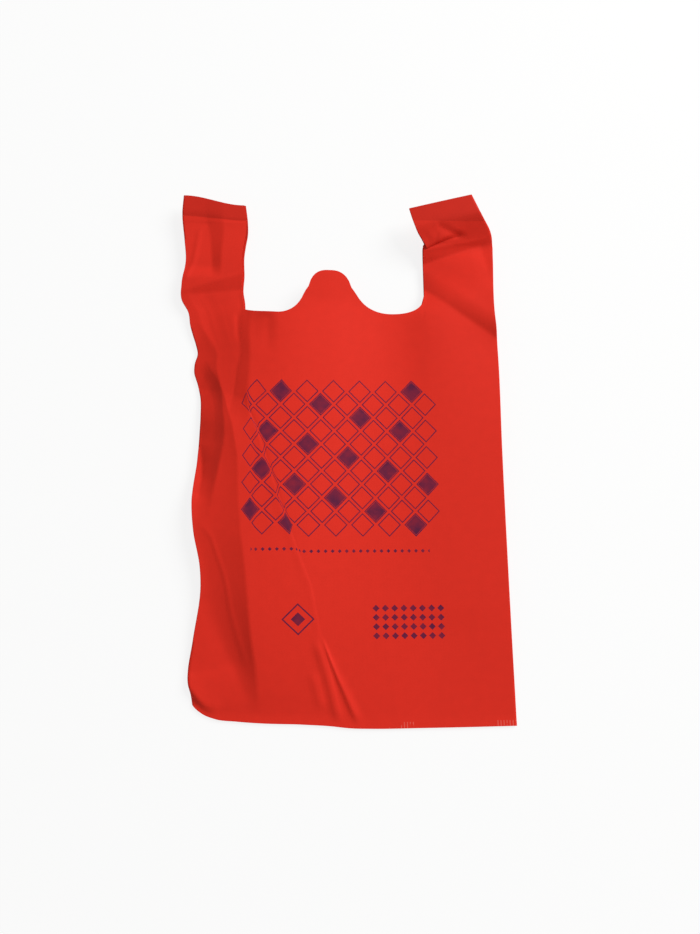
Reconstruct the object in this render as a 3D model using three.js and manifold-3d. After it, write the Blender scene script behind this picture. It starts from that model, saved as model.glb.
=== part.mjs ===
// Non-woven vest bag, empty and lying on its back panel.
// A gusseted tube of thin fabric is welded across both ends and die-cut once through all its layers,
// which leaves the mouth, two handle loops and a front and a back tab. The flat bag is then laid down:
// its layers part, its front panel folds over, and its handles lean and stand up at their ends.
// X runs across the bag, +Y towards the handles, +Z up. Millimetres.
import * as THREE from "three";
import { mergeVertices } from "three/addons/utils/BufferGeometryUtils.js";
import Module from "manifold-3d";

const { lerp, clamp, smoothstep, degToRad } = THREE.MathUtils;

// The bag as it leaves the machine, pressed flat
const bagWidth = 300;
const bagLength = 480;
const gussetDepth = 75;
const fabricThickness = 0.35;
const layerGap = 0.2;
const foldNose = 0.7;
const bottomWeld = 6;
const handleWeld = 18;

// The die cut
const handleWidth = 65;
const mouthDepth = 113;
const mouthCornerWidth = 30;
const mouthCornerHeight = 20;
const tabHeight = 41;
const tabNeckWidth = 48;
const tabTopWidth = 37;
const tabCornerRadius = 13;
const tabFoot = 19;

// How the bag lies: clear heights between the front and the back panel, as [place, height] stops across
// the bag, from the left fold edge at -1 to the right one at 1
const crown = [[-1, 16], [-0.53, 17], [-0.23, 16], [0.37, 10.5], [0.55, 11.5], [1, 14]];
const mouthCrown = [
  [-1, 0.5], [-0.85, 2], [-0.57, 11], [-0.5, 12.3], [-0.3, 16],
  [-0.03, 15], [0.27, 10.5], [0.5, 7.8], [0.6, 9], [1, 9.5],
];
const mouthFade = 117;
const handleHeight = 9;
const leastHeight = 1;
const bottomPressed = 14;
const bottomRise = [[-1, 170], [-0.4, 190], [0.13, 320], [1, 320]];
const handleClose = 45;
const weldRise = 0.5;
const pairShare = 0.17;
const skew = 13;

// Facets
const columnPitch = 12.5;
const hiddenColumnPitch = 25;
const rowPitch = 14;
const curveSteps = 6;

// Values worked out from the sizes above
const halfWidth = bagWidth / 2;
const gussetFold = halfWidth - gussetDepth;
const handleInner = halfWidth - handleWidth;
const handleMiddle = (halfWidth + handleInner) / 2;
const mouthLine = bagLength - mouthDepth;
const layerPitch = fabricThickness + layerGap;
const stackHeight = 3 * layerPitch + fabricThickness;

// Left fold edge: how far it is drawn in, at shares of the bag's length
const leftDraw = [
  [0, 34], [0.07, 15], [0.1, 15], [0.15, 19.5], [0.26, 27], [0.35, 21], [0.4, 19.5], [0.49, 24], [0.57, 27.5],
  [0.64, 27], [0.7, 23.5], [0.77, 17], [0.8, 11], [0.88, 15.5], [0.96, 12], [1, 12],
];
const leftHandleDraw = 3;

// Handles: how far below its top each one starts to lean and over what length, how it turns or slides along
// itself, how much length its folds take up, and from how far below its top and how steeply its end stands up
const handleLeans = [
  { side: -1, below: 40, reach: 40, angle: 0, slide: -0.18, take: 3, standFrom: 18, standSlope: 0.22 },
  { side: 1, below: 52, reach: 34, angle: 14, slide: 0, take: 5.5, standFrom: 39, standSlope: 0.34 },
];

// Folds of the front panel: lines beyond which it drops, or rises where the drop is negative, then stays for
// a hold and comes back over a recover. A point is a share across from the middle to a fold edge, a share
// along from the bottom edge, the drop there, and the width of the slope. Beyond is the left for side 1.
const folds = [
  {
    side: -1, hold: 2 * bagWidth, recover: 1,
    points: [
      [-0.93, 0.71, 0, 12], [-0.75, 0.62, 5, 24], [-0.65, 0.51, 9, 44], [-0.61, 0.354, 11.5, 56],
      [-0.57, 0.244, 12.5, 50], [-0.51, 0.12, 13, 26], [-0.48, 0.005, 4, 10],
    ],
  },
  { side: -1, hold: 8, recover: 36, points: [[-0.95, 0.81, 0, 4], [-0.6, 0.84, 4, 14], [-0.4, 0.85, 0, 14]] },
  { side: 1, hold: 10, recover: 40, points: [[1, 0.925, 0, 5], [0.53, 0.9, 2.5, 16], [0.27, 0.89, 0, 16]] },
  { side: 1, hold: 14, recover: 45, points: [[0.44, 0.862, -3, 16], [1.13, 0.703, -4, 18]] },
];

const wasm = await Module();
wasm.setup();

// A closed geometry as a solid whose every facet is kept, rounded so that ends meet exactly
function toSolid(geometry) {
  geometry.deleteAttribute("normal");
  geometry.deleteAttribute("uv");
  const merged = mergeVertices(geometry);
  const triVerts = new Uint32Array(merged.index.array);
  const faceID = Uint32Array.from({ length: triVerts.length / 3 }, (_, facet) => facet);
  const vertProperties = merged.attributes.position.array.map((value) => Math.round(value * 1000) / 1000);
  return new wasm.Manifold(new wasm.Mesh({ numProp: 3, vertProperties, triVerts, faceID }));
}

function toGeometry(solid) {
  const mesh = solid.getMesh();
  const geometry = new THREE.BufferGeometry();
  geometry.setAttribute("position", new THREE.BufferAttribute(new Float32Array(mesh.vertProperties), 3));
  geometry.setIndex(new THREE.BufferAttribute(new Uint32Array(mesh.triVerts), 1));
  return geometry;
}

// A straight run of profile points from one x to another at one height
function run(fromX, toX, height, pitch) {
  const steps = Math.max(1, Math.round(Math.abs(toX - fromX) / pitch));
  return Array.from({ length: steps + 1 }, (_, i) => new THREE.Vector2(lerp(fromX, toX, i / steps), height));
}

// Half of the tube's section, from the middle of the back panel round the gusset to the middle of the
// front panel. An inset of zero follows the fabric's outer face, and one thickness its inner face.
function halfSection(inset) {
  const outside = halfWidth - foldNose;
  const inside = gussetFold + foldNose;
  const back = inset;
  const gussetBack = layerPitch + fabricThickness - inset;
  const gussetFront = 2 * layerPitch + inset;
  const front = stackHeight - inset;
  return [
    ...run(0, outside, back, hiddenColumnPitch),
    new THREE.Vector2(halfWidth - inset, (back + gussetBack) / 2),
    ...run(outside, inside, gussetBack, hiddenColumnPitch),
    new THREE.Vector2(gussetFold - inset, (gussetBack + gussetFront) / 2),
    ...run(inside, outside, gussetFront, columnPitch),
    new THREE.Vector2(halfWidth - inset, (gussetFront + front) / 2),
    ...run(outside, inside, front, columnPitch).slice(0, -1),
    ...run(inside, 0, front, columnPitch),
  ];
}

// A half section and its mirror image as one closed outline
function closed(half) {
  const mirrored = half.slice(1, -1).map((point) => new THREE.Vector2(-point.x, point.y));
  return new THREE.Shape([...half, ...mirrored.reverse()]);
}

// A section, drawn across X and up Z, carried along Y
function alongBag(half, start, end) {
  const length = end - start;
  const steps = Math.max(1, Math.round(length / rowPitch));
  const geometry = new THREE.ExtrudeGeometry(closed(half), { depth: length, steps, bevelEnabled: false });
  return toSolid(geometry.rotateX(Math.PI / 2).translate(0, end, 0));
}

function gussetedTube() {
  const outside = alongBag(halfSection(0), bottomWeld, bagLength - handleWeld);
  const inside = alongBag(halfSection(fabricThickness), bottomWeld, bagLength - handleWeld);
  return outside.subtract(inside);
}

// All the layers fused into one band, which fills the gussets too
function weld(start, end) {
  const inPanels = ({ y }) => y < layerPitch || y > 2 * layerPitch + fabricThickness;
  return alongBag(halfSection(0).filter(inPanels), start, end);
}

// The piece that the die takes out between the handles, down to the mouth and round the tab
function dieCut() {
  const clear = bagLength + handleWeld;
  const lowX = handleInner - mouthCornerWidth;
  const tabTop = mouthLine + tabHeight;
  const topHalf = tabTopWidth / 2;
  const neckHalf = tabNeckWidth / 2;
  const neckLine = mouthLine + tabFoot;
  const edge = new THREE.Path();
  edge.moveTo(handleInner, clear);
  edge.lineTo(handleInner, mouthLine + mouthCornerHeight);
  edge.quadraticCurveTo(handleInner, mouthLine, lowX, mouthLine);
  edge.quadraticCurveTo(lerp(neckHalf, lowX, 0.3), mouthLine, neckHalf, neckLine);
  edge.lineTo(topHalf, tabTop - tabCornerRadius);
  edge.quadraticCurveTo(topHalf - tabCornerRadius / 3, tabTop, topHalf - tabCornerRadius, tabTop);
  edge.lineTo(0, tabTop);
  const right = edge.getPoints(curveSteps);
  const left = right.slice(0, -1).map((point) => new THREE.Vector2(-point.x, point.y));
  const outline = new THREE.Shape([...right, ...left.reverse()]);
  const geometry = new THREE.ExtrudeGeometry(outline, { depth: 3 * stackHeight, bevelEnabled: false });
  return toSolid(geometry.translate(0, 0, -stackHeight));
}

// Value at a place in a run of [place, value] stops, on a smooth curve through them
function alongStops(stops, place) {
  const last = stops.length - 1;
  const slope = (i) => {
    const [before, after] = [stops[Math.max(i - 1, 0)], stops[Math.min(i + 1, last)]];
    return (after[1] - before[1]) / (after[0] - before[0]);
  };
  const i = clamp(stops.findLastIndex(([at]) => at <= place), 0, last - 1);
  const [[startPlace, startValue], [endPlace, endValue]] = [stops[i], stops[i + 1]];
  const span = endPlace - startPlace;
  const share = clamp((place - startPlace) / span, 0, 1);
  const bend = slope(i) * (1 - share) - slope(i + 1) * share;
  return lerp(startValue, endValue, smoothstep(share, 0, 1)) + share * (1 - share) * span * bend;
}

// Each fold as lines on the flat bag
const foldLines = folds.map(({ points, ...fold }) => {
  const places = points.map(([across, along]) => new THREE.Vector3(across * halfWidth, along * bagLength, 0));
  const lines = places.slice(1).map((place, i) => ({
    line: new THREE.Line3(places[i], place), from: points[i], to: points[i + 1],
  }));
  return { ...fold, lines };
});

// How far the folds lower the front panel at a point of the flat bag
function foldDrop(x, y) {
  const point = new THREE.Vector3(x, y, 0);
  const nearest = new THREE.Vector3();
  const along = new THREE.Vector3();
  return foldLines.reduce((total, { side, hold, recover, lines }) => {
    let closest = { distance: Infinity };
    for (const { line, from, to } of lines) {
      const share = line.closestPointToPointParameter(point, true);
      const away = line.at(share, nearest).sub(point);
      const distance = away.length();
      const left = line.delta(along).cross(away).z < 0 ? 1 : -1;
      if (distance < closest.distance) closest = { distance, share, left, from, to };
    }
    const { distance, share, left, from, to } = closest;
    const [drop, width] = [lerp(from[2], to[2], share), lerp(from[3], to[3], share)];
    const beyond = distance * left * side;
    const down = 1 - (1 - clamp(beyond / width, 0, 1)) ** 2;
    return total + drop * down * (1 - smoothstep(beyond - width - hold, 0, recover));
  }, 0);
}

// Clear height between the panels: none at the bottom weld, most over the folds of the gussets
function openHeight(x, y) {
  const out = Math.abs(x);
  const atMouth = smoothstep(y, mouthLine - mouthFade, mouthLine);
  const body = lerp(alongStops(crown, x / halfWidth), alongStops(mouthCrown, x / halfWidth), atMouth);
  const upHandle = smoothstep(y, mouthLine - mouthCornerHeight, mouthLine + tabHeight);
  const inHandle = upHandle * smoothstep(out, gussetFold - mouthCornerHeight, handleInner);
  const shape = lerp(body, handleHeight, inHandle) - foldDrop(x, y);
  const risen = clamp((y - bottomWeld - bottomPressed) / alongStops(bottomRise, x / halfWidth), 0, 1);
  return Math.max(leastHeight, shape) * (1 - (1 - risen) ** 2);
}

// How far a handle's end stands up at a point of the flat bag
function standHeight(x, y) {
  return handleLeans.reduce((total, { side, standFrom, standSlope }) => {
    const past = Math.max(0, y - bagLength + standFrom);
    return x * side < gussetFold ? total : total + past * standSlope;
  }, 0);
}

// Height of a point of the flat stack once the layers have parted. A gusset's two layers lie against
// the panels at the fold edge and meet at the gusset's own fold, and a handle's layers meet at its weld.
function laidHeight(x, y, z) {
  const out = Math.abs(x);
  const height = openHeight(x, y);
  const met = smoothstep(y, bagLength - handleWeld - handleClose, bagLength - handleWeld);
  const open = height * (1 - met);
  const lifted = handleHeight * met * weldRise + standHeight(x, y);
  const belowMouth = 1 - smoothstep(y, mouthLine - tabHeight, mouthLine + tabHeight);
  const shut = lerp(pairShare, 0.5, belowMouth * clamp((halfWidth - out) / gussetDepth, 0, 1));
  const flat = [0, layerPitch, 2 * layerPitch, 3 * layerPitch];
  const laid = [0, layerPitch + open * shut, 2 * layerPitch + open * (1 - shut), 3 * layerPitch + open];
  const layer = flat.findLastIndex((level) => z >= level - layerGap / 2);
  const above = z - flat[layer];
  if (above <= fabricThickness || layer === 3) return lifted + laid[layer] + above;
  const between = (above - fabricThickness) / layerGap;
  return lifted + lerp(laid[layer] + fabricThickness, laid[layer + 1], between);
}

// Turns a handle about the middle of its start line, or slides it along itself, more towards its top
function lean(point, { side, below, reach, angle, slide, take }) {
  const start = bagLength - below;
  if (point.x * side < gussetFold || point.y < start) return;
  const amount = smoothstep(point.y, start, start + reach);
  const pivot = new THREE.Vector2(side * handleMiddle, start);
  point.y += amount * (slide * (point.x - pivot.x) - take);
  point.rotateAround(pivot, degToRad(angle) * amount);
}

// Place on the floor of a point of the flat bag
function laidPlace(x, y) {
  const point = new THREE.Vector2(x, y);
  const beyondFold = clamp((-x - gussetFold) / gussetDepth, 0, 1);
  const inHandle = smoothstep(y, mouthLine - mouthCornerHeight, mouthLine + mouthCornerHeight);
  const atHandle = smoothstep(-x, gussetFold - mouthCornerWidth, handleInner) * inHandle;
  const share = y / bagLength;
  handleLeans.forEach((handle) => lean(point, handle));
  point.x += alongStops(leftDraw, share) * beyondFold;
  point.x += leftHandleDraw * (1 - beyondFold) * atHandle;
  point.x -= skew * share;
  return point;
}

function layDown(geometry) {
  const position = geometry.attributes.position;
  for (let i = 0; i < position.count; i += 1) {
    const [x, y, z] = [position.getX(i), position.getY(i), position.getZ(i)];
    const place = laidPlace(x, y);
    position.setXYZ(i, place.x, place.y, laidHeight(x, y, z));
  }
  return geometry;
}

// The origin is on the floor, under the middle of the bag
function centre(geometry) {
  geometry.computeBoundingBox();
  const middle = geometry.boundingBox.getCenter(new THREE.Vector3());
  return geometry.translate(-middle.x, -middle.y, -geometry.boundingBox.min.z);
}

const bag = gussetedTube()
  .add(weld(0, bottomWeld))
  .add(weld(bagLength - handleWeld, bagLength))
  .subtract(dieCut());
const bagGeometry = centre(layDown(toGeometry(bag)));
bagGeometry.computeVertexNormals();

const fabric = new THREE.MeshStandardMaterial({ color: 0xdd3020, roughness: 0.8, metalness: 0 });
const vestBag = new THREE.Mesh(bagGeometry, fabric);
vestBag.name = "vest_bag";

const group = new THREE.Group();
group.name = "non_woven_vest_bag";
group.add(vestBag);

export default group;
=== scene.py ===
import math

import bmesh
import bpy
import numpy as np
from mathutils import Euler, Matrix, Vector


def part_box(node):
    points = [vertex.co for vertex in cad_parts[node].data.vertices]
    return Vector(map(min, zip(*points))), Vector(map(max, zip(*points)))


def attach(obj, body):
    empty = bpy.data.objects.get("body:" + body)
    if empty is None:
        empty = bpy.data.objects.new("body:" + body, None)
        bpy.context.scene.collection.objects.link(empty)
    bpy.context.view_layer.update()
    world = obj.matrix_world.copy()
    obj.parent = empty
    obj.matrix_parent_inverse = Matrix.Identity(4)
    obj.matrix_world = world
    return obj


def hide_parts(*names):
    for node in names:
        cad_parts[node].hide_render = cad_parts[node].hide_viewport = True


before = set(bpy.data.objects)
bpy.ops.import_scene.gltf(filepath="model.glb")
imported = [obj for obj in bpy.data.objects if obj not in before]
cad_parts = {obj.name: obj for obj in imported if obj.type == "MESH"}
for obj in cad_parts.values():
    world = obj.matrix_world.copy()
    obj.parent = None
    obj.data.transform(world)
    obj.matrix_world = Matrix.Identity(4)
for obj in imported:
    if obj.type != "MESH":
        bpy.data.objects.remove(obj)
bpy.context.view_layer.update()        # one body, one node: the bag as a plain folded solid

mm = 0.001


# hex sRGB to the linear colour that the shader takes
def toLinear(code):
    channels = [int(code[i:i + 2], 16) / 255 for i in (1, 3, 5)]
    return [c / 12.92 if c <= 0.04045 else ((c + 0.055) / 1.055) ** 2.4 for c in channels] + [1.0]


# one node with its settings, and its inputs as plain values or as links
def addNode(tree, kind, inputs=None, **settings):
    node = tree.nodes.new(kind)
    for name, value in settings.items():
        setattr(node, name, value)
    for key, value in (inputs or {}).items():
        if isinstance(value, bpy.types.NodeSocket):
            tree.links.new(value, node.inputs[key])
        else:
            node.inputs[key].default_value = value
    return node


# from 0 to 1, with a soft start and a soft end
def ease(share):
    share = np.clip(share, 0, 1)
    return share * share * (3 - 2 * share)


# value at each place in a run of (place, value) stops, on a smooth curve through them
def alongStops(stops, place):
    places, values = np.array(stops, float).T
    slopes = np.gradient(values, places)
    i = np.clip(np.searchsorted(places, place, side="right") - 1, 0, len(stops) - 2)
    span = places[i + 1] - places[i]
    t = np.clip((place - places[i]) / span, 0, 1)
    bend = slopes[i] * (1 - t) - slopes[i + 1] * t
    level = values[i] + (values[i + 1] - values[i]) * t * t * (3 - 2 * t)
    return level + t * (1 - t) * span * bend


# nearest place on a line of points: distance, positive on its left, and the share of the way along
def nearLine(x, y, points):
    lengths = [math.dist(a, b) for a, b in zip(points, points[1:])]
    best = np.full(x.shape, 1e9)
    signed = np.zeros(x.shape)
    share = np.zeros(x.shape)
    done = 0.0
    for (ax, ay), (bx, by), length in zip(points, points[1:], lengths):
        ux, uy = (bx - ax) / length, (by - ay) / length
        reach = np.clip((x - ax) * ux + (y - ay) * uy, 0, length)
        away = np.hypot(x - ax - ux * reach, y - ay - uy * reach)
        side = np.where(ux * (y - ay) - uy * (x - ax) >= 0, 1.0, -1.0)
        closer = away < best
        best = np.where(closer, away, best)
        signed = np.where(closer, away * side, signed)
        share = np.where(closer, (done + reach) / sum(lengths), share)
        done += length
    return signed, share


# Bag: one sheet of cloth, folded into a gusseted tube, die-cut, welded and laid down. Millimetres.
# Cloth places are x from the middle of the panel and y from the bottom edge, on the flat bag.
bag = dict(
    width=300, length=480, gusset=75, thickness=0.35, handleWidth=65, mouthDepth=113,
    flatArea=0.396,      # square metres of cloth, less what the die takes out
    pitch=0.55,          # from one flat layer to the next
    tabHeight=39, tabNeck=46.5, tabTop=39, tabCorner=15, tabFlat=2.2, tabFoot=19, tabFlare=0.3,
    cutPoints=24,        # places on each curve of the die's line
    bottomWeld=6, handleWeld=18,
    bodyRows=150, handleRows=70, rowCrowding=0.32,       # rows of the mesh lie closer towards the mouth
    crispAngle=60,       # a fold sharper than this many degrees keeps a hard edge
    foldBand=0.5,        # a narrow column beside each side fold keeps the panel flat up to it
    hair=0.01, mergeWithin=0.001,        # slack for picking faces, and for joining the tube
    frontAbove=4,        # faces above this height show which way the sheet points
    # clear height under the front panel, across the bag
    crown=[(-150, 17.5), (-80, 17), (-35, 16), (55, 10.5), (82, 11.5), (150, 14)],
    mouthCrown=[(-150, 5), (-128, 6), (-86, 13), (-76, 14), (-45, 16.5), (-5, 14.2), (30, 9.9), (46, 8.5),
                (62, 8.6), (90, 12), (150, 12)],
    mouthFrom=235, leastCrown=0.4, leastHeight=0.1,
    # height of each handle, from this far below the mouth and inside the gusset's fold, over this width
    handleHeights=(10, 9), handleBelow=20, handleInside=20, handleOver=30,
    pairShare=0.17,      # how far up a side fold its two lower layers meet
    creaseRound=1.4, creaseBelow=4, creaseOver=10, creaseUpTo=8,     # creases fade out at the welds
    # the panel rises from the bottom over this length, across the bag
    pressed=1, rises=[(-150, 170), (-60, 190), (20, 320), (150, 320)],
    close=45, weldRises=(0.75, 0.36),    # layers of a handle meet over this length, this far up its height
    skew=13,             # how far the top lies to the left of the bottom
    # mouth's corners, as curves: in from the handle's edge, and up from the mouth's line
    rightCorner=[(30, 0), (0, 0), (0, 20)], leftCorner=[(36, 0), (14, 1.6), (0, 5.5)],
    # the tab lies a little to the left, from below the mouth's line and out to each side
    tabPull=-1.8, pullBelow=40, pullOver=60, pullOut=30, pullFade=40,
    slip=1.3,            # under layers show past the left handle's inner edge
    # left fold edge: how far it is drawn in, along the bag
    leftDraw=[(0, 18), (14, 17), (30, 14.8), (45, 15), (72, 19.5), (122, 27), (136, 26.5), (168, 21),
              (192, 19.5), (235, 24), (272, 27.5), (290, 27.3), (302, 25), (315, 21.6), (323, 22.4),
              (331, 24.9), (340, 23.4), (350, 20.5), (358, 18.5), (370, 17), (382, 11), (396, 11.5),
              (420, 15.5), (438, 14.5), (462, 12.9), (480, 14.7)],
    # and the rest of that handle, from a little inside the gusset's fold and below the mouth
    drawInside=30, drawBelow=20, drawOver=40,
    leftHandleDraw=[(367, 1.5), (380, 1.5), (391, -0.3), (405, 0.6), (425, 0.8), (434, 3), (442, 5.4),
                    (456, 6.6), (470, 6), (480, 4.8)],
    # right fold edge, the same
    rightDraw=[(0, -1), (30, -0.5), (57, 0), (124, 0.9), (240, 1.6), (330, 1), (353, 1.6), (365, 2.5),
               (388, 2.5), (400, 1.9), (420, 0.9), (440, 0)],
    # bottom left corner, turned under: lift of the bottom edge along the laid bag
    cornerLift=[(-150, 30), (-137, 26), (-131, 16), (-124, 10), (-112, 5), (-93, 2.8), (-74, 1.4),
                (-40, 0.5), (0, 0)],
    cornerReach=62, cornerRoll=11, cornerFlat=0.8,
    # and how far that edge hangs below a straight line further on
    bottomSag=[(-40, 0), (-12, 1.1), (8, 2.9), (25, 3.2), (70, 2.5), (113, 1.6), (150, 0.6)],
    # handles lean near their tops: the left slides along itself, the right turns sharply at its inner edge
    leans=[dict(side=-1, start=440, reach=(40, 40), slide=-0.155, angle=0, pivot=440, take=5.6,
                innerPull=[(440, 0), (480, 0)], outerPull=[(440, 0), (480, 0)]),
           dict(side=1, start=432, reach=(12, 34), slide=0, angle=11.7, pivot=428, take=8.9,
                innerPull=[(432, 0), (442, 4), (450, 2), (458, -1.2), (468, -3), (480, -4)],
                outerPull=[(430, 0), (446, -2), (456, -5), (480, -10.8)])],
    # and their ends stand up a little, past a line below their tops, and so does the tab
    curlRound=3, curlFrom=12,
    curls=[dict(span=(-150, -75), start=403, slopes=(0.1, 0.1), slant=0),
           dict(span=(-150, -75), start=460, slopes=(-0.04, -0.04), slant=0),
           dict(span=(75, 150), start=430, slopes=(0.52, 0.78), slant=0.08),
           dict(span=(75, 150), start=462, slopes=(-0.47, -0.72), slant=0),
           dict(span=(-55, 55), start=378, slopes=(0.13, 0.13), slant=0)],
)
halfWidth = bag["width"] / 2
gussetFold = halfWidth - bag["gusset"]
handleInner = halfWidth - bag["handleWidth"]
mouthLine = bag["length"] - bag["mouthDepth"]
cornerTop = mouthLine + bag["rightCorner"][2][1]
leftTop = mouthLine + bag["leftCorner"][2][1]

# columns of the sheet, run by run round the tube: layer, and (from, to, columns) stretches across the bag
front, gussetFront, gussetBack, back = 3, 2, 1, 0
besideFold = halfWidth - bag["foldBand"]
columnRuns = [
    (front, [(-halfWidth, -besideFold, 1), (-besideFold, -handleInner, 36), (-handleInner, handleInner, 78),
             (handleInner, besideFold, 36), (besideFold, halfWidth, 1)]),
    (gussetFront, [(halfWidth, handleInner, 13), (handleInner, gussetFold, 3)]),
    (gussetBack, [(gussetFold, handleInner, 3), (handleInner, halfWidth, 6)]),
    (back, [(halfWidth, handleInner, 6), (handleInner, -handleInner, 50), (-handleInner, -halfWidth, 6)]),
    (gussetBack, [(-halfWidth, -handleInner, 6), (-handleInner, -gussetFold, 3)]),
    (gussetFront, [(-gussetFold, -handleInner, 3), (-handleInner, -halfWidth, 13)]),
]

# the two long folds of the front panel, from the top down; columns of the sheet run along them
longFold = [(-139, 331), (-122, 309), (-113, 288), (-105, 260), (-97, 234), (-95, 205), (-92, 160),
            (-86, 108), (-81.5, 75), (-77, 50), (-72, 2)]
pleatLine = [(-88, 296), (-70, 262), (-60, 228), (-46, 183), (-34, 147), (-24, 120), (-17, 78), (-5, 40),
             (8, 0)]
guides = [dict(line=longFold, column=-103, upTo=(285, 355)),
          dict(line=pleatLine, column=-50, upTo=(280, 362))]

# steps: the panel drops on one side of a line over a width, stays down for a while and comes up again;
# the curve is 1 for an even slope, more for one that steepens to its foot, and less than -1 for one that
# eases out to it
steps = [
    # long fold from the left edge down to the bottom weld
    dict(points=longFold, side=-1, hold=300, recover=1, fade=(0.06, 0.02), curve=-1.6,
         drops=[(0, 1), (0.16, 3), (0.29, 4), (0.38, 4), (0.5, 5.5), (0.65, 8), (0.75, 11), (0.84, 13.5),
                (0.94, 9), (1, 4)],
         widths=[(0, 12), (0.16, 20), (0.29, 32), (0.38, 38), (0.5, 56), (0.65, 56), (0.75, 40), (0.84, 26),
                 (0.94, 16), (1, 10)]),
    # a steeper run beside its upper half
    dict(points=[(-146, 372), (-132, 350), (-121, 328), (-117.5, 300), (-115.5, 266), (-116, 246),
                 (-120, 226), (-126, 194), (-134, 171)],
         side=-1, hold=300, recover=1, fade=(0.15, 0.28), curve=1,
         drops=[(0, 3), (0.25, 7), (0.6, 9.8), (0.8, 8), (1, 4)],
         widths=[(0, 24), (0.25, 40), (0.4, 38), (0.55, 33), (0.66, 32), (0.73, 24), (0.8, 18.5), (1, 13)]),
    # low side of the pleat
    dict(points=pleatLine, side=-1, hold=20, recover=60, fade=(0.2, 0.2), curve=1,
         drops=[(0, 0.3), (0.6, 0.7), (1, 1)], widths=[(0, 14), (1, 9)]),
    # gusset fold at the mouth
    dict(points=[(-78, 405), (-77, 372), (-76, 325), (-81, 285), (-90, 252)],
         side=-1, hold=40, recover=80, fade=(0.2, 0.25), curve=1,
         drops=[(0, 1.8), (0.5, 2.6), (1, 4)], widths=[(0, 9), (0.5, 14), (1, 26)]),
    # bottom left: the cloth rises again to the fold edge
    dict(points=[(-150, 118), (-138, 95), (-122, 76), (-108, 55), (-92, 36), (-79, 16)],
         side=-1, hold=300, recover=1, fade=(0.2, 0.1), curve=-1.3,
         drops=[(0, -3.2), (1, -3.2)], widths=[(0, 45), (1, 45)]),
    # a slow fall to the right, below the print
    dict(points=[(38, 100), (42, 60), (46, 8)],
         side=1, hold=5, recover=60, fade=(0.35, 0.1), curve=1,
         drops=[(0, 2.4), (1, 2.4)], widths=[(0, 45), (1, 45)]),
    # left handle: a facet down its middle, and its foot below a slanting line
    dict(points=[(-109, 494), (-109, 469), (-108, 436), (-109, 400)],
         side=-1, hold=3, recover=300, fade=(0, 0.14), curve=1,
         drops=[(0, 0), (0.27, 1.4), (0.42, 3.5), (0.7, 3), (1, 2)],
         widths=[(0, 17), (0.35, 17), (0.72, 12), (1, 8)]),
    dict(points=[(-175, 383), (-142, 391), (-133, 393), (-116, 398), (-91, 403.5), (-60, 410)],
         side=-1, hold=8, recover=60, fade=(0.1, 0.25), curve=1,
         drops=[(0, 0.6), (0.28, 0.8), (0.42, 2.4), (0.78, 4.4), (1, 4.4)],
         widths=[(0, 4), (0.28, 4), (0.42, 7), (0.78, 14), (1, 14)]),
    # right handle: its top third bends down at the pinch, and its foot drops to the panel along a slant
    dict(points=[(150, 441), (136, 437), (80, 426.5), (40, 419)],
         side=1, hold=10, recover=40, fade=(0.13, 0.35), curve=1,
         drops=[(0, 1.5), (0.2, 3), (0.64, 8.5), (1, 8.5)], widths=[(0, 5), (0.2, 5.5), (0.64, 12), (1, 12)]),
    dict(points=[(66, 406.5), (118, 367), (170, 327.5)],
         side=1, hold=14, recover=45, fade=(0.02, 0.01), curve=-1.8,
         drops=[(0, -3), (1, -4)], widths=[(0, 16), (1, 18)]),
]

# creases: ridges, or valleys where the height is negative, with a width for each side of the line
creases = [
    # right handle's pinch and outer edge
    dict(points=[(80, 439.5), (90, 441.5), (128, 446)], height=-2.8, left=6, right=8, fade=(0.01, 0.25)),
    dict(points=[(104, 461), (112, 455), (122, 444)], height=-2.2, left=6, right=8, fade=(0.2, 0.2)),
    dict(points=[(90, 452), (101, 453)], height=0.7, left=8, right=8, fade=(0.4, 0.4)),
    dict(points=[(150, 428), (150, 330)], height=1.8, left=40, right=40, fade=(0.2, 0.3)),
    # left handle's weld and facets
    dict(points=[(-152, 461), (-84, 460)], height=-0.5, left=3, right=3, fade=(0.0, 0.0)),
    dict(points=[(-132, 452), (-140, 420), (-147, 398)], height=0.5, left=5, right=4, fade=(0.2, 0.1)),
    # left strip, and its turned corner
    dict(points=[(-143, 176), (-129, 163), (-124, 144), (-116.5, 126), (-108, 98), (-100, 81), (-81, 38)],
         height=0.4, left=4, right=3, fade=(0.1, 0.2)),
    dict(points=[(-154, 30), (-138, 12), (-122, 0)], height=1.9, left=28, right=10, fade=(0.0, 0.2)),
    # beside the gusset's fold at the mouth, and at the pleat's foot
    dict(points=[(-92, 372), (-92, 335)], height=-0.5, left=4, right=4, fade=(0.2, 0.5)),
    dict(points=[(-58, 366), (-60, 325)], height=-0.6, left=9, right=9, fade=(0.1, 0.5)),
    dict(points=[(-28, 78), (-14, 38), (-3, 2)], height=1.5, left=6, right=5, fade=(0.25, 0.05)),
    dict(points=[(-20, 78), (0, 34), (14, 2)], height=1.3, left=7, right=4, fade=(0.25, 0.05)),
    dict(points=[(-30, 48), (-18, 12)], height=0.9, left=6, right=5, fade=(0.3, 0.2)),
]

# pleats: lines where the cloth doubles under itself and takes up some of its width
pleats = [
    dict(points=pleatLine, take=7.5, width=12, depth=0.3, reach=60, fade=(0.08, 0.25)),
]


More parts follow.
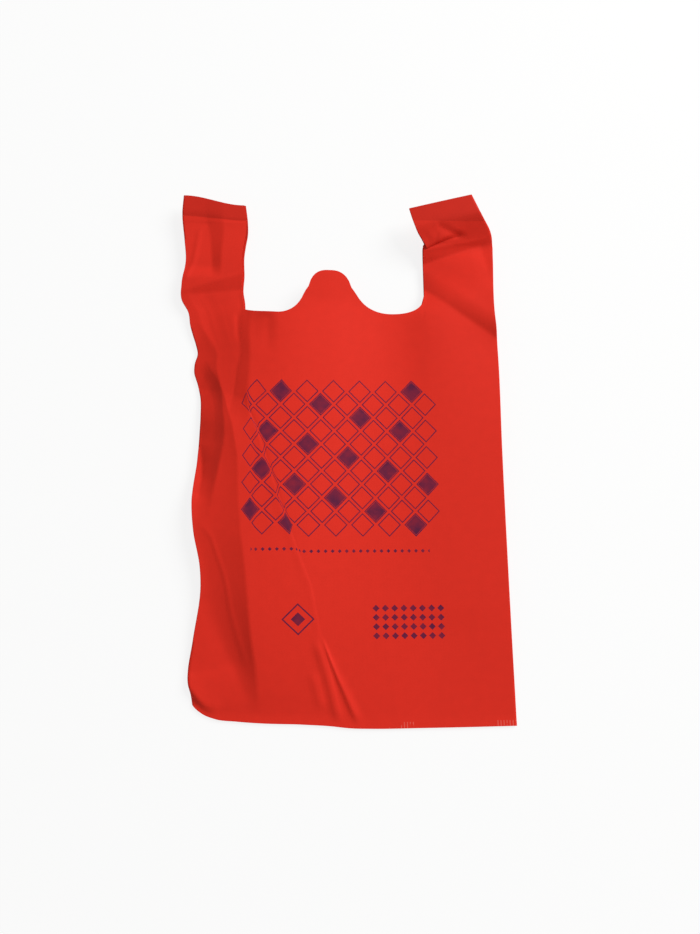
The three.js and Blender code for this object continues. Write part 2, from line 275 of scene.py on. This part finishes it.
# the die's line from the middle of the panel out to a handle: places across, and the cut edge's height there
def cutLine(corner):
    tabTop = mouthLine + bag["tabHeight"]
    topHalf, neckHalf = bag["tabTop"] / 2, bag["tabNeck"] / 2
    lowX = handleInner - corner[0][0]
    flareX = neckHalf + bag["tabFlare"] * (lowX - neckHalf)
    radius = bag["tabCorner"]
    curves = [
        ((bag["tabFlat"], tabTop), (topHalf - radius / 4, tabTop), (topHalf, tabTop - radius)),
        ((neckHalf, mouthLine + bag["tabFoot"]), (flareX, mouthLine), (lowX, mouthLine)),
        [(handleInner - inward, mouthLine + upward) for inward, upward in corner],
    ]
    line = [(0.0, tabTop)]
    for a, b, c in curves:
        for t in np.linspace(0, 1, bag["cutPoints"]):
            line.append(tuple((1 - t) ** 2 * a[i] + 2 * t * (1 - t) * b[i] + t * t * c[i] for i in (0, 1)))
    return np.array(line)


# clear height under the front panel, with its folds, once the bag is laid down
def openHeight(x, y):
    out = np.abs(x)
    body = alongStops(bag["crown"], x)
    atMouth = ease((y - bag["mouthFrom"]) / (mouthLine - bag["mouthFrom"]))
    body = body + (alongStops(bag["mouthCrown"], x) - body) * atMouth
    inHandle = ease((y - mouthLine + bag["handleBelow"]) / (bag["handleBelow"] + bag["tabHeight"]))
    besideMouth = ease((out - gussetFold + bag["handleInside"]) / bag["handleOver"])
    handle = np.where(x < 0, *bag["handleHeights"])
    shape = body + (handle - body) * inHandle * besideMouth
    risen = np.clip((y - bag["bottomWeld"] - bag["pressed"]) / alongStops(bag["rises"], x), 0, 1)
    top = bag["length"] - bag["handleWeld"]
    envelope = 1 - (1 - risen) ** 2
    for step in steps:
        signed, share = nearLine(x, y, step["points"])
        width = np.interp(share, *zip(*step["widths"]))
        beyond = signed * step["side"]
        over = np.clip(beyond / width, 0, 1)
        down = over ** step["curve"] if step["curve"] > 0 else 1 - (1 - over) ** -step["curve"]
        down = down * (1 - ease((beyond - width - step["hold"]) / step["recover"]))
        shape = shape - np.interp(share, *zip(*step["drops"])) * down * endFade(share, step)
    folds = np.zeros(x.shape)
    for crease in creases:
        signed, share = nearLine(x, y, crease["points"])
        width = np.where(signed > 0, crease["left"], crease["right"])
        away = np.hypot(signed, bag["creaseRound"]) - bag["creaseRound"]
        near = np.clip(1 - away / width, 0, 1)
        folds = folds + crease["height"] * near * near * endFade(share, crease)
    abovePress = ease((y - bag["bottomWeld"] + bag["creaseBelow"]) / bag["creaseOver"])
    clearOfSeams = abovePress * (1 - ease((y - top) / bag["creaseUpTo"]))
    height = np.maximum(shape, bag["leastCrown"]) * envelope + folds * clearOfSeams
    return np.maximum(height, bag["leastHeight"])


# share of the way to which a handle's layers have met, up to its weld
def metShare(y):
    return ease((y - bag["length"] + bag["handleWeld"] + bag["close"]) / bag["close"])


# a fold dies away over these shares of its length, at its two ends
def endFade(share, line):
    start, end = line["fade"]
    fadeIn = ease(share / start) if start else 1
    fadeOut = ease((1 - share) / end) if end else 1
    return fadeIn * fadeOut


# lays the flat cloth down: where each point of a layer comes to rest
def layDown(x, y, layer, nose):
    thickness, pitch = bag["thickness"], bag["pitch"]
    out = np.abs(x)
    height = openHeight(x, y)
    opened = height * (1 - metShare(y))
    lifted = height * metShare(y) * np.where(x < 0, *bag["weldRises"])

    # four layers, with each gusset's pair between the panels; a fold's nose lies midway between its two
    belowMouth = 1 - ease((y - mouthLine + bag["tabHeight"]) / (2 * bag["tabHeight"]))
    inward = belowMouth * np.clip((halfWidth - out) / bag["gusset"], 0, 1)
    shut = bag["pairShare"] + (0.5 - bag["pairShare"]) * inward
    faces = np.array([
        np.zeros(x.shape),
        pitch + opened * shut + thickness,
        2 * pitch + opened * (1 - shut),
        3 * pitch + opened + thickness,
    ])
    everyPoint = np.arange(len(x))
    z = faces[layer, everyPoint]
    z = np.where(nose >= 0, (z + faces[np.maximum(nose, 0), everyPoint]) / 2, z)

    laidX, laidY = x.copy(), y.copy()
    # the cloth beside a pleat moves in towards it
    for pleat in pleats:
        signed, share = nearLine(x, y, pleat["points"])
        half = pleat["width"] / 2
        fade = endFade(share, pleat) * (layer == front)
        away = np.clip(np.abs(signed) / half, 0, 1)
        decay = np.exp(-np.maximum(np.abs(signed) - half, 0) / pleat["reach"])
        first, last = pleat["points"][0], pleat["points"][-1]
        length = math.dist(first, last)
        leftX, leftY = -(last[1] - first[1]) / length, (last[0] - first[0]) / length
        move = -np.sign(signed) * away * decay * fade * pleat["take"] / 2
        laidX += leftX * move
        laidY += leftY * move
        z -= pleat["depth"] * (1 - away) * fade * np.clip(opened / bag["handleHeights"][0], 0, 1)

    # handles' ends and the tab stand up
    z += lifted
    for curl in bag["curls"]:
        past = y - curl["start"] - curl["slant"] * (x - sum(curl["span"]) / 2)
        inside = (x >= curl["span"][0]) & (x <= curl["span"][1])
        slope = np.interp(x, curl["span"], curl["slopes"])
        rise = (past + np.hypot(past, bag["curlRound"])) / 2
        z += inside * slope * rise * ease((past + bag["curlFrom"]) / bag["curlFrom"])

    # handles lean
    for lean in bag["leans"]:
        start, pivot = lean["start"], lean["pivot"]
        middle = lean["side"] * (halfWidth + handleInner) / 2
        turning = (x * lean["side"] > gussetFold) & (y > start)
        reach = np.interp(x * lean["side"], (handleInner, halfWidth), lean["reach"])
        amount = np.where(turning, ease((y - start) / reach), 0)
        angle = math.radians(lean["angle"]) * amount
        across = (out - handleInner) / bag["handleWidth"]
        pull = alongStops(lean["innerPull"], y) * (1 - across) + alongStops(lean["outerPull"], y) * across
        dx, dy = laidX - middle + pull, laidY - pivot - lean["take"] * amount
        laidX = np.where(turning, middle + dx * np.cos(angle) - dy * np.sin(angle), laidX)
        laidY = np.where(turning, pivot + dx * np.sin(angle) + dy * np.cos(angle), laidY)
        laidY += lean["slide"] * amount * bag["handleWidth"] / 2 * np.sin(np.pi * dx / bag["handleWidth"])

    # side edges draw in, and the tab and the left handle's under layers shift
    beyondFold = np.clip((-x - gussetFold) / bag["gusset"], 0, 1)
    inHandle = ease((y - mouthLine + bag["drawBelow"]) / bag["drawOver"])
    atHandle = ease((-x - gussetFold + bag["drawInside"]) / (handleInner - gussetFold + bag["drawInside"]))
    laidX += alongStops(bag["leftDraw"], y) * beyondFold
    laidX += (1 - beyondFold) * atHandle * inHandle * alongStops(bag["leftHandleDraw"], y)
    laidX -= alongStops(bag["rightDraw"], y) * np.clip((x - gussetFold) / bag["gusset"], 0, 1)
    atTab = ease((y - mouthLine + bag["pullBelow"]) / bag["pullOver"])
    laidX += bag["tabPull"] * atTab * (1 - ease((out - bag["pullOut"]) / bag["pullFade"]))
    laidX += (layer <= gussetBack) * atHandle * inHandle * bag["slip"]

    # bottom left corner rolls up, the rest of the bottom edge hangs a little, and the whole bag skews
    lift = alongStops(bag["cornerLift"], laidX)
    low = np.clip(1 - y / bag["cornerReach"], 0, 1)
    laidY += lift * low * low
    rolled = np.clip(lift / bag["cornerRoll"], 0, 1) * (1 - ease((laidY - lift) / bag["cornerRoll"]))
    stack = np.array([0, pitch + thickness, 2 * pitch, 3 * pitch + thickness])[layer]
    z = z - np.maximum(z - stack, 0) * bag["cornerFlat"] * rolled
    laidY -= alongStops(bag["bottomSag"], x) * low * low
    laidX -= bag["skew"] * y / bag["length"]
    return laidX, laidY, z


# moves the front panel's columns over, so that a column lies along each long fold
def alongGuides(x, y):
    stops = [(np.full(x.shape, -halfWidth), -halfWidth)]
    for guide in guides:
        xs, ys = zip(*reversed(guide["line"]))
        share = 1 - ease((y - guide["upTo"][0]) / (guide["upTo"][1] - guide["upTo"][0]))
        stops.append((guide["column"] + (np.interp(y, ys, xs) - guide["column"]) * share, guide["column"]))
    stops.append((np.full(x.shape, halfWidth), halfWidth))
    moved = x.copy()
    for (startX, start), (endX, end) in zip(stops, stops[1:]):
        inside = (x >= start) & (x <= end)
        moved = np.where(inside, startX + (endX - startX) * (x - start) / (end - start), moved)
    return moved


# the sheet as a grid, rolled into the tube, cut and laid down
def makeBag():
    columns = []         # (x, layer, second layer where the fold's nose joins two layers)
    for runIndex, (layer, stretches) in enumerate(columnRuns):
        before = columnRuns[runIndex - 1][0]
        for stretchIndex, (start, end, count) in enumerate(stretches):
            for i in range(count):
                atNose = stretchIndex == 0 and i == 0
                columns.append((start + (end - start) * i / count, layer, before if atNose else -1))
    columns.append(columns[0])
    rows = bag["bodyRows"] + bag["handleRows"]

    bm = bmesh.new()
    bmesh.ops.create_grid(bm, x_segments=len(columns) - 1, y_segments=rows, size=0.5)
    column = np.array([round((v.co.x + 0.5) * (len(columns) - 1)) for v in bm.verts])
    row = np.array([round((v.co.y + 0.5) * rows) for v in bm.verts])
    x, layer, nose = (np.array(values)[column] for values in zip(*columns))

    # rows follow the die's line below the mouth, and run straight up the handles above it
    right = cutLine(bag["rightCorner"])
    left = cutLine(bag["leftCorner"])
    cut = np.where(x > 0, np.interp(x, right[:, 0], right[:, 1]), np.interp(-x, left[:, 0], left[:, 1]))
    handleFoot = np.where(x > 0, cornerTop, leftTop)
    cut = np.where(np.abs(x) < handleInner - bag["hair"], cut, handleFoot)
    upBody = row / bag["bodyRows"]
    upBody = upBody * (1 + bag["rowCrowding"] * (1 - upBody))
    upHandle = (row - bag["bodyRows"]) / bag["handleRows"]
    handleY = handleFoot + (bag["length"] - handleFoot) * upHandle
    y = np.where(row <= bag["bodyRows"], cut * upBody, handleY)
    x = np.where(layer == front, alongGuides(x, y), x)

    # cloth coordinates in metres: round the tube, and up from the bottom edge
    distances = np.cumsum(np.abs(np.diff([c[0] for c in columns])))
    around = np.concatenate([[0], distances])[column]
    around = np.where((layer == front) & (column < len(columns) - 1), x + halfWidth, around)
    uvLayer = bm.loops.layers.uv.new("cloth")
    bm.verts.index_update()
    for face in bm.faces:
        for loop in face.loops:
            loop[uvLayer].uv = (around[loop.vert.index] * mm, y[loop.vert.index] * mm)

    laidX, laidY, z = layDown(x, y, layer, nose)
    low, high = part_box("vest_bag")
    for i, v in enumerate(bm.verts):
        v.co = (laidX[i] * mm + high.x - halfWidth * mm, laidY[i] * mm + low.y, z[i] * mm)

    # what the die takes out above the mouth
    inMouth = (np.abs(x) < handleInner + bag["hair"]) & (row >= bag["bodyRows"])
    waste = [f for f in bm.faces if all(inMouth[v.index] for v in f.verts)]
    bmesh.ops.delete(bm, geom=waste, context="FACES")
    bmesh.ops.remove_doubles(bm, verts=bm.verts, dist=bag["mergeWithin"] * mm)
    upward = sum(f.normal.z for f in bm.faces if f.calc_center_median().z > bag["frontAbove"] * mm)
    if upward < 0:
        bmesh.ops.reverse_faces(bm, faces=bm.faces)
    mesh = bpy.data.meshes.new("bag")
    bm.to_mesh(mesh)
    bm.free()
    return mesh


# gives the sheet its thickness, inwards, and keeps the cut rims and tight folds crisp
def thicken(piece):
    solid = piece.modifiers.new("thickness", "SOLIDIFY")
    solid.thickness = bag["thickness"] * mm
    solid.offset = -1
    solid.use_even_offset = False
    solid.material_offset = 1
    solid.material_offset_rim = 1
    graph = bpy.context.evaluated_depsgraph_get()
    mesh = bpy.data.meshes.new_from_object(piece.evaluated_get(graph), depsgraph=graph)
    piece.modifiers.clear()
    bm = bmesh.new()
    bm.from_mesh(mesh)
    for face in bm.faces:
        face.smooth = True
    for edge in bm.edges:
        edge.smooth = len(edge.link_faces) == 2 and edge.calc_face_angle() < math.radians(bag["crispAngle"])
    bm.to_mesh(mesh)
    bm.free()
    piece.data = mesh
    return mesh


bagPiece = bpy.data.objects.new("bag", makeBag())
bpy.context.scene.collection.objects.link(bagPiece)


# Spunbond polypropylene: fine threads bonded at dots, so it is matte and a little cloudy, with no weave.
# The print is one dark ink, thin enough for the red to warm it. Millimetres on the cloth.
cloth = dict(
    red="#e02e1f", ink="#4d1a3c", pale="#ef8a7c", roughness=0.68, shine=0.12, ior=1.49,
    clouds=9, cloudDetail=4.0, cloudDepth=0.1, threads=1.1, threadDetail=3.0, threadDepth=0.08,
    bondPitch=3.2,       # bonds are really 1.2 apart: drawn coarser, to show
    bondDepth=0.07, bondRim=0.45, threadHeight=0.35, bumpStrength=0.5,
    panelRepeat=450,     # from the front panel round to the back panel
    weldTick=2.6, tickShare=0.3, weldHeight=5, weldShow=0.35, ticksAt=(51, 11), ticksFrom=133,
    biteFrom=0.48,       # ticks show only where the cloth is cloudy
    # painted shade: the cloth is drawn deeper where the gusset lies behind it, standing in for the light that
    # the stacked layers let through less; deeper still in the fused band at the handles' tops, which on the
    # right handle slants down past the weld as painted shade on a facet turned from the light
    transmittedShade=0.028, transmittedShadeFrom=6, transmittedShadeOver=16, welded=0.15, darkBandLine=461, shadeSlants=(0, 0.22),
    inkCloud=0.5, inkLeast=0.62, inkMost=0.96,           # the ink lies unevenly
)
# lozenges in a lattice, a row of small ones below, and a mark and a block of dots near the bottom
motif = dict(
    middle=234, width=23.2, height=24, reachAcross=81.5, reachUp=61, rim=0.41, line=0.027, fill=0.37, pick=5,
    rowPlace=151, rowReach=81, rowPitch=6, rowDot=1.7,
    mark=(-40, 90), markSize=13, markLine=0.9, markDot=6,
    block=(61, 89), blockReach=(32, 16), blockPitch=8, blockDot=0.38,
)
clothSums = [
    ("cloudShade", "MULTIPLY_ADD", "cloud", cloth["cloudDepth"], 1 - cloth["cloudDepth"] / 2),
    ("threadShade", "MULTIPLY_ADD", "thread", cloth["threadDepth"], 1 - cloth["threadDepth"] / 2),
    ("clothShade", "MULTIPLY", "cloudShade", "threadShade"),
    # places across a panel, front and back alike
    ("round", "MODULO", "u", cloth["panelRepeat"]),
    ("x", "SUBTRACT", "round", bag["width"] / 2),
    ("out", "ABSOLUTE", "x"),
    # painted shade: darker over the gusset's stacked layers, for the light they let through less
    ("beyondFold", "SUBTRACT", "out", gussetFold - cloth["transmittedShadeFrom"]),
    ("behindShare", "DIVIDE", "beyondFold", cloth["transmittedShadeOver"]),
    ("behindLow", "MAXIMUM", "behindShare", 0.0),
    ("behind", "MINIMUM", "behindLow", 1.0),
    ("paintedTransmittedShade", "MULTIPLY_ADD", "behind", -cloth["transmittedShade"], 1.0),
    # fused weld band at the handles' tops, drawn deeper red; on the right handle the band slants below the
    # weld onto unfused cloth, and there it is painted shade
    ("rightSide", "GREATER_THAN", "x", 0.0),
    ("slant", "MULTIPLY_ADD", "rightSide", cloth["shadeSlants"][1], cloth["shadeSlants"][0]),
    ("fromMiddle", "SUBTRACT", "out", (halfWidth + handleInner) / 2),
    ("slantedY", "MULTIPLY_ADD", "slant", "fromMiddle", "y"),
    ("inDarkBand", "GREATER_THAN", "slantedY", cloth["darkBandLine"]),
    ("weldAndPaintedShade", "MULTIPLY_ADD", "inDarkBand", -cloth["welded"], 1.0),
    ("stackShade", "MULTIPLY", "paintedTransmittedShade", "weldAndPaintedShade"),
    ("shade", "MULTIPLY", "clothShade", "stackShade"),
    # welded ends: short pressed ticks, where the sealing bar bit
    ("tickCount", "DIVIDE", "u", cloth["weldTick"]),
    ("tickPart", "FRACT", "tickCount"),
    ("tick", "LESS_THAN", "tickPart", cloth["tickShare"]),
    ("inWeld", "LESS_THAN", "y", cloth["weldHeight"]),
    ("bitten", "GREATER_THAN", "cloud", cloth["biteFrom"]),
    ("atMiddle", "COMPARE", "x", *cloth["ticksAt"]),
    ("atCorner", "GREATER_THAN", "x", cloth["ticksFrom"]),
    ("atRight", "MAXIMUM", "atMiddle", "atCorner"),
    ("tickInWeld", "MULTIPLY", "tick", "inWeld"),
    ("tickBitten", "MULTIPLY", "tickInWeld", "bitten"),
    ("tickThere", "MULTIPLY", "tickBitten", "atRight"),
    ("weldMark", "MULTIPLY", "tickThere", cloth["weldShow"]),
    # bonded dots sink, threads between them stand up
    ("bondHeight", "MINIMUM", "bond", cloth["bondRim"]),
    ("surface", "MULTIPLY_ADD", "thread", cloth["threadHeight"], "bondHeight"),
]
printSums = [
    # two slanting counts: whole parts name a lozenge, fractions place a point inside it
    ("right", "DIVIDE", "x", motif["width"]),
    ("above", "SUBTRACT", "y", motif["middle"]),
    ("up", "DIVIDE", "above", motif["height"]),
    ("rising", "ADD", "right", "up"),
    ("falling", "SUBTRACT", "right", "up"),
    ("risingCell", "FLOOR", "rising"),
    ("fallingCell", "FLOOR", "falling"),
    ("risingPart", "FRACT", "rising"),
    ("fallingPart", "FRACT", "falling"),
    ("risingMid", "SUBTRACT", "risingPart", 0.5),
    ("fallingMid", "SUBTRACT", "fallingPart", 0.5),
    ("risingOff", "ABSOLUTE", "risingMid"),
    ("fallingOff", "ABSOLUTE", "fallingMid"),
    ("toRim", "MAXIMUM", "risingOff", "fallingOff"),
    ("outline", "COMPARE", "toRim", motif["rim"], motif["line"]),
    ("inside", "LESS_THAN", "toRim", motif["fill"]),
    ("tally", "MULTIPLY_ADD", "fallingCell", 2, "risingCell"),
    ("turn", "FLOORED_MODULO", "tally", motif["pick"]),
    ("picked", "LESS_THAN", "turn", 0.5),
    ("filled", "MULTIPLY", "inside", "picked"),
    ("lozenge", "MAXIMUM", "outline", "filled"),
    # whole lozenges only
    ("cellSum", "ADD", "risingCell", "fallingCell"),
    ("cellX", "MULTIPLY_ADD", "cellSum", motif["width"] / 2, motif["width"] / 2),
    ("cellDifference", "SUBTRACT", "risingCell", "fallingCell"),
    ("cellY", "MULTIPLY", "cellDifference", motif["height"] / 2),
    ("inAcross", "COMPARE", "cellX", 0.0, motif["reachAcross"]),
    ("inUp", "COMPARE", "cellY", 0.0, motif["reachUp"]),
    ("inPanel", "MULTIPLY", "inAcross", "inUp"),
    ("lattice", "MULTIPLY", "lozenge", "inPanel"),
    # row of small lozenges
    ("rowCount", "DIVIDE", "x", motif["rowPitch"]),
    ("rowPart", "FRACT", "rowCount"),
    ("rowMid", "SUBTRACT", "rowPart", 0.5),
    ("rowScaled", "MULTIPLY", "rowMid", motif["rowPitch"]),
    ("rowAcross", "ABSOLUTE", "rowScaled"),
    ("rowAbove", "SUBTRACT", "y", motif["rowPlace"]),
    ("rowUp", "ABSOLUTE", "rowAbove"),
    ("rowOff", "ADD", "rowAcross", "rowUp"),
    ("rowDots", "LESS_THAN", "rowOff", motif["rowDot"]),
    ("inRow", "COMPARE", "x", 0.0, motif["rowReach"]),
    ("row", "MULTIPLY", "rowDots", "inRow"),
    # lozenge mark with a solid middle
    ("markRight", "SUBTRACT", "x", motif["mark"][0]),
    ("markAbove", "SUBTRACT", "y", motif["mark"][1]),
    ("markAcross", "ABSOLUTE", "markRight"),
    ("markUp", "ABSOLUTE", "markAbove"),
    ("markOff", "ADD", "markAcross", "markUp"),
    ("markOutline", "COMPARE", "markOff", motif["markSize"], motif["markLine"]),
    ("markMiddle", "LESS_THAN", "markOff", motif["markDot"]),
    ("mark", "MAXIMUM", "markOutline", "markMiddle"),
    # block of dots
    ("blockRight", "SUBTRACT", "x", motif["block"][0]),
    ("blockAbove", "SUBTRACT", "y", motif["block"][1]),
    ("blockAcross", "DIVIDE", "blockRight", motif["blockPitch"]),
    ("blockUp", "DIVIDE", "blockAbove", motif["blockPitch"]),
    ("blockPartX", "FRACT", "blockAcross"),
    ("blockPartY", "FRACT", "blockUp"),
    ("blockMidX", "SUBTRACT", "blockPartX", 0.5),
    ("blockMidY", "SUBTRACT", "blockPartY", 0.5),
    ("blockOffX", "ABSOLUTE", "blockMidX"),
    ("blockOffY", "ABSOLUTE", "blockMidY"),
    ("blockOff", "ADD", "blockOffX", "blockOffY"),
    ("blockDots", "LESS_THAN", "blockOff", motif["blockDot"]),
    ("inBlockX", "COMPARE", "blockRight", 0.0, motif["blockReach"][0]),
    ("inBlockY", "COMPARE", "blockAbove", 0.0, motif["blockReach"][1]),
    ("inBlock", "MULTIPLY", "inBlockX", "inBlockY"),
    ("blockShown", "MULTIPLY", "blockDots", "inBlock"),
    ("upper", "MAXIMUM", "lattice", "row"),
    ("lower", "MAXIMUM", "mark", "blockShown"),
    ("printed", "MAXIMUM", "upper", "lower"),
    ("inkDepth", "MULTIPLY_ADD", "cloud", cloth["inkCloud"], cloth["inkLeast"]),
    ("inkCover", "MINIMUM", "inkDepth", cloth["inkMost"]),
    ("ink", "MULTIPLY", "printed", "inkCover"),
]


# node by node: places on the cloth, noises, the sums above, then colour, bump and shader
def spunbondRed(name, printed):
    material = bpy.data.materials.new(name)
    material.use_nodes = True
    tree = material.node_tree
    tree.nodes.clear()
    where = addNode(tree, "ShaderNodeUVMap", uv_map="cloth")
    inMm = addNode(tree, "ShaderNodeVectorMath", {0: where.outputs["UV"], 1: (1 / mm,) * 3},
                   operation="MULTIPLY")
    place = inMm.outputs[0]
    split = addNode(tree, "ShaderNodeSeparateXYZ", {0: place})
    clouds = addNode(tree, "ShaderNodeTexNoise",
                     {"Vector": place, "Scale": 1 / cloth["clouds"], "Detail": cloth["cloudDetail"]})
    threads = addNode(tree, "ShaderNodeTexNoise",
                      {"Vector": place, "Scale": 1 / cloth["threads"], "Detail": cloth["threadDetail"]})
    bonds = addNode(tree, "ShaderNodeTexVoronoi",
                    {"Vector": place, "Scale": 1 / cloth["bondPitch"], "Randomness": 0.0})
    value = {"u": split.outputs["X"], "y": split.outputs["Y"], "cloud": clouds.outputs[0],
             "thread": threads.outputs[0], "bond": bonds.outputs["Distance"]}
    for label, operation, *terms in clothSums + (printSums if printed else []):
        inputs = {i: value[term] if isinstance(term, str) else term for i, term in enumerate(terms)}
        value[label] = addNode(tree, "ShaderNodeMath", inputs, operation=operation, label=label).outputs[0]

    shade = addNode(tree, "ShaderNodeCombineColor", {0: value["shade"], 1: value["shade"], 2: value["shade"]})
    colour = addNode(tree, "ShaderNodeMix", {0: 1.0, 6: toLinear(cloth["red"]), 7: shade.outputs[0]},
                     data_type="RGBA", blend_type="MULTIPLY").outputs[2]
    for share, over in [("weldMark", cloth["pale"])] + ([("ink", cloth["ink"])] if printed else []):
        colour = addNode(tree, "ShaderNodeMix", {0: value[share], 6: colour, 7: toLinear(over)},
                         data_type="RGBA").outputs[2]
    bump = addNode(tree, "ShaderNodeBump",
                   {"Height": value["surface"], "Strength": cloth["bumpStrength"],
                    "Distance": cloth["bondDepth"] * mm})
    shader = addNode(tree, "ShaderNodeBsdfPrincipled", {
        "Base Color": colour, "Roughness": cloth["roughness"], "IOR": cloth["ior"],
        "Specular IOR Level": cloth["shine"], "Normal": bump.outputs[0],
    })
    addNode(tree, "ShaderNodeOutputMaterial", {"Surface": shader.outputs[0]})
    return material


bagPiece.data.materials.append(spunbondRed("printedSpunbond", True))
bagPiece.data.materials.append(spunbondRed("plainSpunbond", False))
bagMesh = thicken(bagPiece)
triangles = sum(len(p.vertices) - 2 for p in bagMesh.polygons)
print("bag:", len(bagMesh.vertices), "vertices,", triangles, "triangles")
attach(bagPiece, "root")
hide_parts("vest_bag")


# Floor: plain and pale, and it keeps the bag's shadow
floor = dict(size=6.0, below=0.0005, colour="#f4f4f2", glow=0.85)


# 1 where a surface is looked at, straight or in a reflection, and 0 where it only gives light
def lookedAt(tree):
    path = addNode(tree, "ShaderNodeLightPath")
    seen = addNode(tree, "ShaderNodeMath",
                   {0: path.outputs["Is Camera Ray"], 1: path.outputs["Is Glossy Ray"]}, operation="ADD")
    return addNode(tree, "ShaderNodeMath", {0: seen.outputs[0], 1: path.outputs["Is Transmission Ray"]},
                   operation="ADD", use_clamp=True).outputs[0]


def makeFloor():
    bm = bmesh.new()
    bmesh.ops.create_grid(bm, x_segments=1, y_segments=1, size=floor["size"] / 2)
    mesh = bpy.data.meshes.new("floor")
    bm.to_mesh(mesh)
    bm.free()
    material = bpy.data.materials.new("palePaper")
    material.use_nodes = True
    tree = material.node_tree
    tree.nodes.clear()
    out = addNode(tree, "ShaderNodeOutputMaterial")
    paper = addNode(tree, "ShaderNodeBsdfDiffuse", {"Color": toLinear(floor["colour"])})
    light = addNode(tree, "ShaderNodeEmission", {"Color": (1, 1, 1, 1), "Strength": 1.0})
    glow = addNode(tree, "ShaderNodeMath", {0: lookedAt(tree), 1: floor["glow"]}, operation="MULTIPLY")
    mix = addNode(tree, "ShaderNodeMixShader", {0: glow.outputs[0], 1: paper.outputs[0], 2: light.outputs[0]})
    tree.links.new(mix.outputs[0], out.inputs["Surface"])
    mesh.materials.append(material)
    piece = bpy.data.objects.new("floor", mesh)
    bpy.context.scene.collection.objects.link(piece)
    piece.location.z = -floor["below"]


makeFloor()
print("floor: laid")


# Camera: looks down on the bag from its bottom end, as the photograph does; it aims at a place in from the
# bag's bottom right corner
camera = dict(distance=0.9, tilt=8.6, inward=0.1442, upward=0.2262, height=0.006, lens=38.6, sensor=36)


def makeCamera():
    data = bpy.data.cameras.new("camera")
    data.lens = camera["lens"]
    data.sensor_width = camera["sensor"]
    data.sensor_fit = "AUTO"
    data.dof.use_dof = False
    piece = bpy.data.objects.new("camera", data)
    bpy.context.scene.collection.objects.link(piece)
    turn = Euler((math.radians(camera["tilt"]), 0, 0)).to_matrix()
    low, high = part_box("vest_bag")
    aim = Vector((high.x - camera["inward"], low.y + camera["upward"], camera["height"]))
    piece.matrix_world = turn.to_4x4()
    piece.location = aim + turn @ Vector((0, 0, camera["distance"]))
    bpy.context.scene.camera = piece


makeCamera()

# Light: one broad soft lamp from the upper right, and an even pale surround
lamp = dict(place=(2.2, 1.6, 2.05), size=1.7, power=122, colour="#ffffff",
            surround="#ffffff", surroundStrength=0.32, backdrop="#f7f7f6")


def makeLight():
    data = bpy.data.lights.new("softLamp", "AREA")
    data.energy = lamp["power"]
    data.size = lamp["size"]
    data.color = toLinear(lamp["colour"])[:3]
    piece = bpy.data.objects.new("softLamp", data)
    bpy.context.scene.collection.objects.link(piece)
    piece.location = lamp["place"]
    piece.rotation_euler = (-Vector(lamp["place"])).to_track_quat("-Z", "Y").to_euler()
    world = bpy.data.worlds.new("surround")
    world.use_nodes = True
    tree = world.node_tree
    tree.nodes.clear()
    even = addNode(tree, "ShaderNodeBackground",
                   {"Color": toLinear(lamp["surround"]), "Strength": lamp["surroundStrength"]})
    pale = addNode(tree, "ShaderNodeBackground", {"Color": toLinear(lamp["backdrop"]), "Strength": 1.0})
    mix = addNode(tree, "ShaderNodeMixShader", {0: lookedAt(tree), 1: even.outputs[0], 2: pale.outputs[0]})
    addNode(tree, "ShaderNodeOutputWorld", {"Surface": mix.outputs[0]})
    bpy.context.scene.world = world


makeLight()
bpy.context.scene.view_settings.view_transform = "Standard"
print("camera and light: set")
